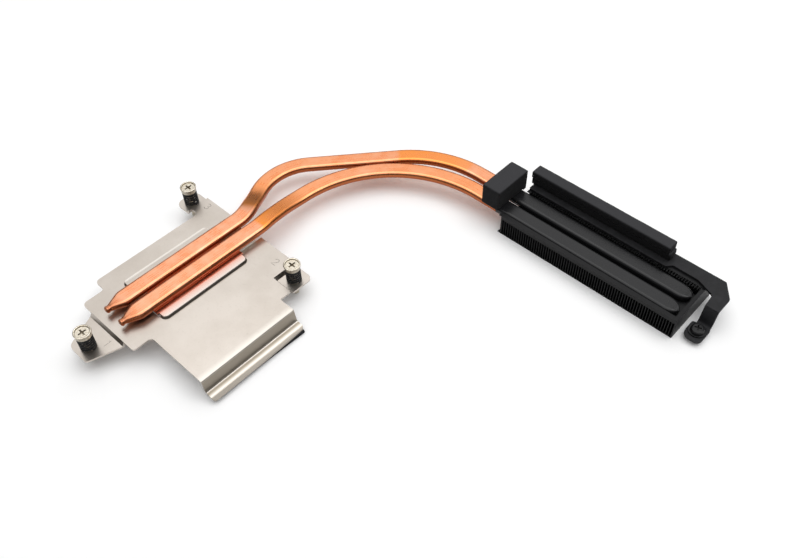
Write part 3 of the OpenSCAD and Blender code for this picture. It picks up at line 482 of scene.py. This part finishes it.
class Val:
    """Wraps a socket; its operators add Math nodes."""

    def __init__(self, tree, socket):
        self.tree, self.socket = tree, socket

    def math(self, kind, *others, clamp=False):
        node = self.tree.nodes.new("ShaderNodeMath")
        node.operation, node.use_clamp = kind, clamp
        for slot, value in zip(node.inputs, (self,) + others):
            if isinstance(value, Val):
                self.tree.links.new(value.socket, slot)
            else:
                slot.default_value = value
        return Val(self.tree, node.outputs[0])

    def __add__(self, other):
        return self.math("ADD", other)

    def __sub__(self, other):
        return self.math("SUBTRACT", other)

    def __mul__(self, other):
        return self.math("MULTIPLY", other)

    def __truediv__(self, other):
        return self.math("DIVIDE", other)

    def __rsub__(self, other):
        return self * -1 + other

    __radd__, __rmul__ = __add__, __mul__

    def between(self, a, b):
        """0 at a, 1 at b and clamped outside; b may lie below a."""
        return ((self - a) / (b - a)).math("ADD", 0.0, clamp=True)

    def off(self, middle, reach):
        """1 at middle, falling to 0 at a distance of reach."""
        return 1 - (self - middle).math("ABSOLUTE").between(0, reach)


class Finish:
    """One node material of a named finish."""

    def __init__(self, name, **fixed):
        self.mat = bpy.data.materials.new(name)
        self.mat.use_nodes = True
        self.tree = self.mat.node_tree
        self.shader = self.tree.nodes["Principled BSDF"]
        for key, value in fixed.items():
            self.shader.inputs[key.replace("_", " ")].default_value = value
        self.place = self.node("ShaderNodeTexCoord").outputs["Object"]

    def node(self, kind, settings=(), sockets=()):
        """Adds a node of a kind, with its settings first and then values or links of its sockets."""
        node = self.tree.nodes.new(kind)
        for key, value in dict(settings).items():
            setattr(node, key, value)
        for key, value in dict(sockets).items():
            value = value.socket if isinstance(value, Val) else value
            if isinstance(value, bpy.types.NodeSocket):
                self.tree.links.new(value, node.inputs[key])
            else:
                node.inputs[key].default_value = value
        return node

    def axes(self):
        """Object coordinates in millimetres."""
        parts = self.node("ShaderNodeSeparateXYZ", sockets={"Vector": self.place}).outputs
        return [Val(self.tree, part) * 1000 for part in parts]

    def own(self, name):
        """Attribute of the piece's own mesh."""
        return Val(self.tree, self.node("ShaderNodeAttribute", {"attribute_name": name}).outputs["Fac"])

    def join(self, x, y, z):
        """Vector of three values."""
        return self.node("ShaderNodeCombineXYZ", sockets={"X": x, "Y": y, "Z": z}).outputs[0]

    def turned(self, scale, degrees=0.0):
        """Object coordinates in millimetres, scaled by axis and turned about Z."""
        return self.node("ShaderNodeMapping", sockets={
            "Vector": self.place, "Scale": [1000 * v for v in scale],
            "Rotation": (0, 0, math.radians(degrees))}).outputs[0]

    def noise(self, size, detail=3.0, rough=0.55, at=None):
        """Fractal noise with features of size millimetres, about 0.3 to 0.7."""
        at = at or self.turned((1, 1, 1))
        return Val(self.tree, self.node("ShaderNodeTexNoise", sockets={
            "Vector": at, "Scale": 1 / size, "Detail": detail, "Roughness": rough}).outputs[0])

    def cells(self, size):
        """Distance to the nearest of scattered points."""
        return Val(self.tree, self.node("ShaderNodeTexVoronoi", sockets={
            "Vector": self.turned((1, 1, 1)), "Scale": 1 / size}).outputs["Distance"])

    def mix(self, share, a, b):
        """Colour from a to b by share; colours are tuples or sockets."""
        a, b = (v + (1.0,) if isinstance(v, tuple) else v for v in (a, b))
        return self.node("ShaderNodeMix", {"data_type": "RGBA"}, {0: share, 6: a, 7: b}).outputs[2]

    def show(self, colour=None, rough=None, metal=None, bump=None, depth=0.01):
        """Feeds the shader's mapped sockets; bump is a height whose unit stands for depth mm."""
        if bump is not None:
            bump = self.node("ShaderNodeBump", sockets={"Height": bump, "Distance": depth * MM}).outputs[0]
        mapped = {"Base Color": colour, "Roughness": rough, "Metallic": metal, "Normal": bump}
        for key, value in mapped.items():
            if value is not None:
                value = value.socket if isinstance(value, Val) else value
                self.tree.links.new(value, self.shader.inputs[key])
        return self.mat


def nickel_sheet(c):
    """Satin nickel on rolled sheet: rolling grain along Y, stains, hairlines, a smoother seat with
    painted shade on its sides, a painted highlight on its rim and beside the front pipe and a painted
    reflection of that pipe, and a flange with a painted highlight on its bend and painted shade on its
    wall, shelf strip and lip."""
    f = Finish("nickel_sheet", Metallic=1.0)
    x, _, z = f.axes()
    grain = f.noise(0.3, 2, at=f.turned((1, 0.05, 1)))
    stain, speck = f.noise(16, 4, 0.6), f.noise(0.8, 3)
    hair = f.noise(0.45, 2, at=f.turned((1, 0.03, 1), 32)).between(0.66, 0.72)
    hair = hair + f.noise(0.5, 2, at=f.turned((0.03, 1, 1), 14)).between(0.68, 0.74)
    seat = z.between(*SEAT_TOP)
    tone = f.mix(stain.between(0.36, 0.64), c.nickel_dull, c.nickel)
    rim, beside = z.between(*SEAT_RIM) * x.off(SEAT_EDGE_X, RIM_REACH), x.between(*SEAT_BESIDE_PIPE)
    # Painted highlight on the flange's upper bend, the seat beside the front pipe and the seat's rim
    painted_highlight_share = x.between(*FLANGE_BEND) * 0.7 + seat * beside * 0.9 + rim
    tone = f.mix(painted_highlight_share, tone, c.nickel_light)
    # Painted shade on the flange's wall, the shelf's strip and the lip
    painted_shade_share = x.between(*FLANGE_WALL) * (0.85 - 0.7 * x.between(*FLANGE_SHELF))
    painted_shade_share = painted_shade_share + x.between(*SHELF_STRIP[0]) * x.between(*SHELF_STRIP[1]) * 0.8
    tone = f.mix(painted_shade_share + x.between(*FLANGE_LIP) * 0.5, tone, c.nickel_dim)
    # Painted shade on the raised seat's sides
    sides = z.between(*SEAT_SIDE[0]) * z.between(*SEAT_SIDE[1])
    tone = f.mix(sides * 0.75, tone, c.nickel_dark)
    # Painted reflection of the front pipe in the seat beside it
    tone = f.mix(seat * beside * x.between(*PAINTED_PIPE_REFLECTION) * 0.7, tone, c.pipe_image)
    tone = f.mix(speck.between(0.6, 0.72) * 0.18, tone, c.nickel_speck)
    rough = 0.24 + stain * 0.10 + speck * 0.05 + hair * 0.08 - seat * 0.14
    return f.show(tone, rough, bump=grain * 0.6 + speck * 0.4 + hair * 0.3, depth=0.005)


def pipe_copper(c):
    """Drawn copper: red clouds, streaks along the pipe, heat tint, painted shade on the sides, dark oxide
    at the pinched tips, black-painted end.
    """
    f = Finish("pipe_copper", IOR=1.4)
    x = f.axes()[0]
    side, along, across, tint = f.own("side"), f.own("along"), f.own("across"), f.own("tint")
    cloud = f.noise(6, 4, 0.6)
    streak = f.noise(1, 3, at=f.join(across * 2.2, along * 0.07, 0.0))
    drawn = f.noise(1, 2, at=f.join(across * 7, along * 0.25, 3.0))
    paint = (x + f.noise(1.3, 3) * 2.2).between(c.paint_x + 1.0, c.paint_x + 1.3)
    tone = f.mix((cloud * 0.6 + streak * 0.4).between(0.40, 0.60), c.copper_red, c.copper)
    patchy = 0.6 + (cloud * 0.5 + streak * 0.5).between(0.35, 0.6) * 0.4
    tone = f.mix(tint * patchy, tone, c.copper_tint)
    # Dark oxide at the pinched tips, then painted shade on the pipes' sides
    tone = f.mix(along.between(8, 2) * 0.55, tone, c.copper_side)
    tone = f.mix(side.between(0.62, 0.92) * 0.9, tone, c.copper_side)
    tone = f.mix(f.noise(0.9, 4, 0.7).between(0.64, 0.72) * 0.22, tone, c.copper_spot)
    tone = f.mix(paint, tone, c.paint)
    rough = 0.20 + cloud * 0.10 + streak * 0.06 - paint * 0.03
    return f.show(tone, rough, metal=1 - paint, bump=drawn * 0.5 + cloud * 0.5, depth=0.02)


def machined_copper(c):
    """Milled copper of the cold plate: fine parallel cutter lines."""
    f = Finish("machined_copper", Metallic=1.0)
    lines, cloud = f.noise(0.22, 2, at=f.turned((1, 0.05, 1), 12)), f.noise(6, 3)
    tone = f.mix(cloud.between(0.35, 0.65), c.copper_red, c.copper)
    return f.show(tone, 0.2 + lines * 0.12, bump=lines, depth=0.006)


def black_paint(name, tone, worn_tone, rough, specular):
    """Sprayed black paint: orange peel, dust, worn specks."""
    f = Finish(name, Specular_IOR_Level=specular)
    peel, dust = f.noise(0.35, 3), f.noise(5, 4, 0.65)
    worn = f.noise(0.7, 4, 0.7).between(0.66, 0.76)
    base = f.mix(dust.between(0.45, 0.7), tone, tuple(1.6 * v for v in tone))
    base = f.mix(worn * 0.4, base, worn_tone)
    return f.show(base, rough + dust * 0.12 + peel * 0.06, bump=peel, depth=0.012)


def cut_foam(c):
    """Fine-celled foam: open pores on the cuts, a bloom of dust, and a painted lighter top where the light
    falls.
    """
    f = Finish("cut_foam", Specular_IOR_Level=0.15, Sheen_Weight=0.04, Sheen_Roughness=0.5)
    pores, coarse = f.cells(0.4), f.noise(1.6, 4, 0.65)
    deep, light, painted_top_tone = (tuple(share * v for v in c.foam) for share in (0.35, 1.6, 7.5))
    tone = f.mix(pores.between(0.1, 0.5), deep, light)
    tone = f.mix(coarse.between(0.5, 0.75) * 0.2, tone, c.foam_bloom)
    # Painted light: the top is lighter than the cut sides
    tone = f.mix(f.own("skin") * 0.8, tone, painted_top_tone)
    return f.show(tone, 0.86 + coarse * 0.1, bump=pores * 0.7 + coarse * 0.3, depth=0.05)


def spring_black():
    """Black-oxided wire with a trace of oil."""
    f = Finish("spring_black", Specular_IOR_Level=0.3)
    n = f.noise(0.5, 3)
    tone = f.mix(n.between(0.4, 0.65), (0.006, 0.006, 0.007), (0.018, 0.018, 0.019))
    return f.show(tone, 0.32 + n * 0.2, bump=n, depth=0.008)


def turned_nickel():
    """Nickel-plated turned screw: turning marks, darker in the recess."""
    f = Finish("turned_nickel", Metallic=1.0)
    z = f.axes()[2]
    n = f.noise(0.7, 4, 0.6)
    turned = f.noise(0.1, 2, at=f.turned((0.1, 0.1, 1)))
    tone = f.mix(n.between(0.4, 0.65), (0.56, 0.50, 0.40), (0.74, 0.69, 0.60))
    # Darker band in the screw's recess
    tone = f.mix(z.between(*RECESS[0]) * z.between(*RECESS[1]) * 0.55, tone, (0.16, 0.13, 0.09))
    return f.show(tone, 0.18 + n * 0.16, bump=turned * 0.6 + n * 0.4, depth=0.01)


def plain_steel(name, dark, light):
    """Plain dulled steel."""
    f = Finish(name, Metallic=1.0)
    n = f.noise(0.6, 3)
    return f.show(f.mix(n.between(0.35, 0.65), dark, light), 0.28 + n * 0.15, bump=n, depth=0.008)


def studio_paper(glow):
    """Plain pale paper that stays white to the camera and in reflections, and keeps its shadows."""
    f = Finish("studio_paper", Roughness=0.9, Specular_IOR_Level=0.1)
    f.show(f.mix(f.noise(3, 2), (0.90, 0.90, 0.90), (0.92, 0.92, 0.92)))
    path = f.node("ShaderNodeLightPath").outputs
    seen = Val(f.tree, path["Is Camera Ray"]) + Val(f.tree, path["Is Glossy Ray"])
    light = f.node("ShaderNodeEmission", sockets={"Strength": seen * glow})
    both = f.node("ShaderNodeAddShader", sockets={0: f.shader.outputs[0], 1: light.outputs[0]})
    f.tree.links.new(both.outputs[0], f.tree.nodes["Material Output"].inputs["Surface"])
    return f.mat


# Operators

class HS_OT_studio(bpy.types.Operator):
    """Lays the paper floor, hangs the sky and the softboxes and sets the camera"""
    bl_idname = "heatsink.studio"
    bl_label = "Studio"

    def execute(self, context):
        k, scene = plain(context.scene.hs_studio), context.scene
        scene.view_settings.view_transform = "Standard"
        me = bpy.data.meshes.new("floor")
        around = ((-1, -1), (1, -1), (1, 1), (-1, 1))
        corners = [(x * PAPER_HALF, y * PAPER_HALF, FLOOR_Z) for x, y in around]
        me.from_pydata(corners, [], [(0, 1, 2, 3)])
        me.materials.append(studio_paper(k.paper))
        floor = bpy.data.objects.new("floor", me)
        scene.collection.objects.link(floor)
        self.hang_sky(scene, k)
        for name, (place, size, share) in LAMPS.items():
            lamp = bpy.data.lights.new(name, "AREA")
            lamp.shape, lamp.energy = "RECTANGLE", share * k.key
            lamp.size, lamp.size_y = size
            ob = bpy.data.objects.new(name, lamp)
            ob.location = place
            ob.rotation_euler = (Vector(LAMPS_AIM) - Vector(place)).to_track_quat("-Z", "Y").to_euler()
            scene.collection.objects.link(ob)
        self.set_camera(scene, k)
        return {"FINISHED"}

    def hang_sky(self, scene, k):
        """Soft sky by height: dim at the horizon, grey half-way up, bright overhead."""
        world = scene.world = bpy.data.worlds.new("soft_sky")
        world.use_nodes = True
        tree = world.node_tree
        back = tree.nodes["Background"]
        parts = tree.nodes.new("ShaderNodeSeparateXYZ")
        tree.links.new(tree.nodes.new("ShaderNodeTexCoord").outputs["Generated"], parts.inputs[0])
        ramp = tree.nodes.new("ShaderNodeValToRGB")
        stops = ramp.color_ramp.elements
        stops[0].position, stops[1].position = SKY_GREYS[0][0], SKY_GREYS[-1][0]
        for place, _ in SKY_GREYS[1:-1]:
            stops.new(place)
        for stop, (_, grey) in zip(stops, SKY_GREYS):
            stop.color = (grey, grey, grey, 1)
        tree.links.new(parts.outputs["Z"], ramp.inputs[0])
        tree.links.new(ramp.outputs[0], back.inputs["Color"])
        back.inputs["Strength"].default_value = k.sky

    def set_camera(self, scene, k):
        """Camera at the photo's angle from its yaw, tilt and roll."""
        level = math.cos(k.down)
        ahead = Vector((-math.sin(k.yaw) * level, math.cos(k.yaw) * level, -math.sin(k.down)))
        side = Vector((math.cos(k.yaw), math.sin(k.yaw), 0))
        up = side.cross(ahead)
        right = math.cos(k.roll) * side + math.sin(k.roll) * up
        above = -math.sin(k.roll) * side + math.cos(k.roll) * up
        cam = bpy.data.objects.new("camera", bpy.data.cameras.new("camera"))
        cam.data.lens, cam.data.clip_start = k.lens, 0.01
        turn = Matrix((right, above, -ahead)).transposed()
        cam.matrix_world = Matrix.Translation(CAMERA_AT) @ turn.to_4x4()
        scene.collection.objects.link(cam)
        scene.camera = cam


class HS_OT_finishes(bpy.types.Operator):
    """Gives each CAD piece that stays visible its finish"""
    bl_idname = "heatsink.finishes"
    bl_label = "Finishes"

    def execute(self, context):
        c = plain(context.scene.hs_finish)
        dark, matt = (tuple(share * v for v in c.paint) for share in (0.55, 1.4))
        by_start = {
            "retention_plate": nickel_sheet(c),
            "cold_plate": machined_copper(c),
            "captive_screw": turned_nickel(),
            "retaining_ring": plain_steel("ring_steel", (0.34, 0.33, 0.32), (0.50, 0.48, 0.45)),
            "fin_": black_paint("fin_paint", dark, c.paint_worn, 0.42, 0.22),
            "side_bracket": black_paint("bracket_paint", matt, c.paint_worn, 0.46, 0.22),
            "bracket_": black_paint("screw_black", dark, c.paint_worn, 0.26, 0.32),
        }
        for name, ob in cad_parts.items():
            for start, mat in by_start.items():
                if name.startswith(start):
                    for slot in ob.material_slots:
                        slot.material = mat
        return {"FINISHED"}


class HS_OT_pipes(bpy.types.Operator):
    """Builds the two flattened heat pipes"""
    bl_idname = "heatsink.pipes"
    bl_label = "Heat Pipes"

    def execute(self, context):
        k = plain(context.scene.hs_pipe)
        mat = pipe_copper(plain(context.scene.hs_finish))

        def meet(p, turn, y):
            """Point at y on the line that leaves p at an angle to X."""
            return p[0] + (y - p[1]) / math.tan(turn), y

        x, s = k.pitch / 2, k.tip + k.bend_start
        front, rear = k.fins_y - x, k.fins_y + x
        leave = (x, k.bend_start)
        out = (-x - k.rear_reach * math.sin(k.swing_rear),
               k.bend_start + k.rear_reach * math.cos(k.swing_rear))
        runs = {
            "heat_pipe_front": (
                [(x, -k.tip), leave, meet(leave, math.pi / 2 + k.swing_front, front), (k.end_x, front)],
                FRONT_RADII, (s - 1, s - 1 + k.front_fall), FRONT_TINT),
            "heat_pipe_rear": (
                [(-x, -k.tip), (-x, k.bend_start), out, meet(out, k.run_angle, rear), (k.end_x, rear)],
                REAR_RADII, (s, s + k.rear_fall), REAR_TINT),
        }
        for name, (points, radii, fall, tint) in runs.items():
            verts, faces, share, along, across = pipe_surface(points, radii, fall, k)
            ob = build(name + "_drawn", verts, faces, mat)
            tag(ob, side=share, along=along, across=across,
                tint=np.interp(along + 0.12 * across ** 2, *tint))
            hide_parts(name)
        return {"FINISHED"}


class HS_OT_springs(bpy.types.Operator):
    """Winds the coil springs under the screws' heads"""
    bl_idname = "heatsink.springs"
    bl_label = "Springs"

    def execute(self, context):
        k = plain(context.scene.hs_spring)
        mat = spring_black()
        for n, place in SCREWS.items():
            ob = build(f"screw_spring_{n}_wound", *spring_surface(place, k), mat)
            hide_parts(f"screw_spring_{n}")
            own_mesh(ob)
        return {"FINISHED"}


class HS_OT_foam(bpy.types.Operator):
    """Cuts the foam block, the two foam strips and the pad under the flange"""
    bl_idname = "heatsink.foam"
    bl_label = "Foam"

    def execute(self, context):
        k = plain(context.scene.hs_foam)
        mat = cut_foam(plain(context.scene.hs_finish))
        for seed, (name, (ragged, channel)) in enumerate(FOAM_PIECES.items()):
            low, high = (np.array(v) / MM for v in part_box(name))
            verts, faces, skin = foam_surface(low, high, k, seed * 7 + 3, ragged, channel)
            if name == "flange_pad":
                verts = under_flange(verts, low, high)
            ob = build(name + "_cut", verts, faces, mat)
            tag(ob, skin=skin)
            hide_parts(name)
        return {"FINISHED"}


class HS_OT_tongue(bpy.types.Operator):
    """Adds the edge of the sheet's tongue beside the front pipe, bright with a painted highlight"""
    bl_idname = "heatsink.tongue"
    bl_label = "Tongue Edge"

    def execute(self, context):
        k = plain(context.scene.hs_tongue)
        # Light colour as a painted highlight on the edge
        mat = plain_steel("edge_nickel", (0.78, 0.74, 0.67), (0.88, 0.84, 0.78))
        verts, faces, _ = foam_surface((k.inner, k.start, k.low), (k.outer, k.end, k.high), k, 0)
        build("tongue_edge", verts, faces, mat)
        return {"FINISHED"}


class HS_OT_marks(bpy.types.Operator):
    """Stamps the order of tightening beside the screws, dark with painted shade"""
    bl_idname = "heatsink.marks"
    bl_label = "Stamped Order"

    def execute(self, context):
        k = plain(context.scene.hs_mark)
        # Dark colour as painted shade in the stamped numbers
        mat = plain_steel("stamp_nickel", (0.09, 0.08, 0.07), (0.20, 0.18, 0.15))
        for n, (x, y, z) in MARKS.items():
            points = (np.array(STROKES[n]) - [0.35, 0.5]) * k.height + [x, y]
            ridge = stroke_surface(points, k.width, z - MARK_SINK, MARK_RISE)
            build(f"stamped_order_{n}", *ridge, mat, smooth=False)
        return {"FINISHED"}


class HS_PT_panel(bpy.types.Panel):
    """Lists the steps and settings of the heatsink"""
    bl_idname = "HS_PT_panel"
    bl_label = "Heatsink"
    bl_space_type = "VIEW_3D"
    bl_region_type = "UI"
    bl_category = "Heatsink"

    def draw(self, context):
        for step in STEPS:
            self.layout.operator(step.bl_idname)
        for name, group in GROUPS.items():
            box = self.layout.box()
            box.label(text=group.__doc__)
            for key in group.__annotations__:
                box.prop(getattr(context.scene, name), key)


STEPS = (HS_OT_studio, HS_OT_finishes, HS_OT_pipes, HS_OT_springs, HS_OT_foam, HS_OT_tongue, HS_OT_marks)
CLASSES = tuple(GROUPS.values()) + STEPS + (HS_PT_panel,)


def register():
    for cls in CLASSES:
        bpy.utils.register_class(cls)
    for name, group in GROUPS.items():
        setattr(bpy.types.Scene, name, PointerProperty(type=group))


def unregister():
    for name in GROUPS:
        delattr(bpy.types.Scene, name)
    for cls in reversed(CLASSES):
        bpy.utils.unregister_class(cls)


def main():
    register()
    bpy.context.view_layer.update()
    for step in STEPS:
        getattr(bpy.ops.heatsink, step.bl_idname.split(".")[1])()


if __name__ == "__main__":
    main()
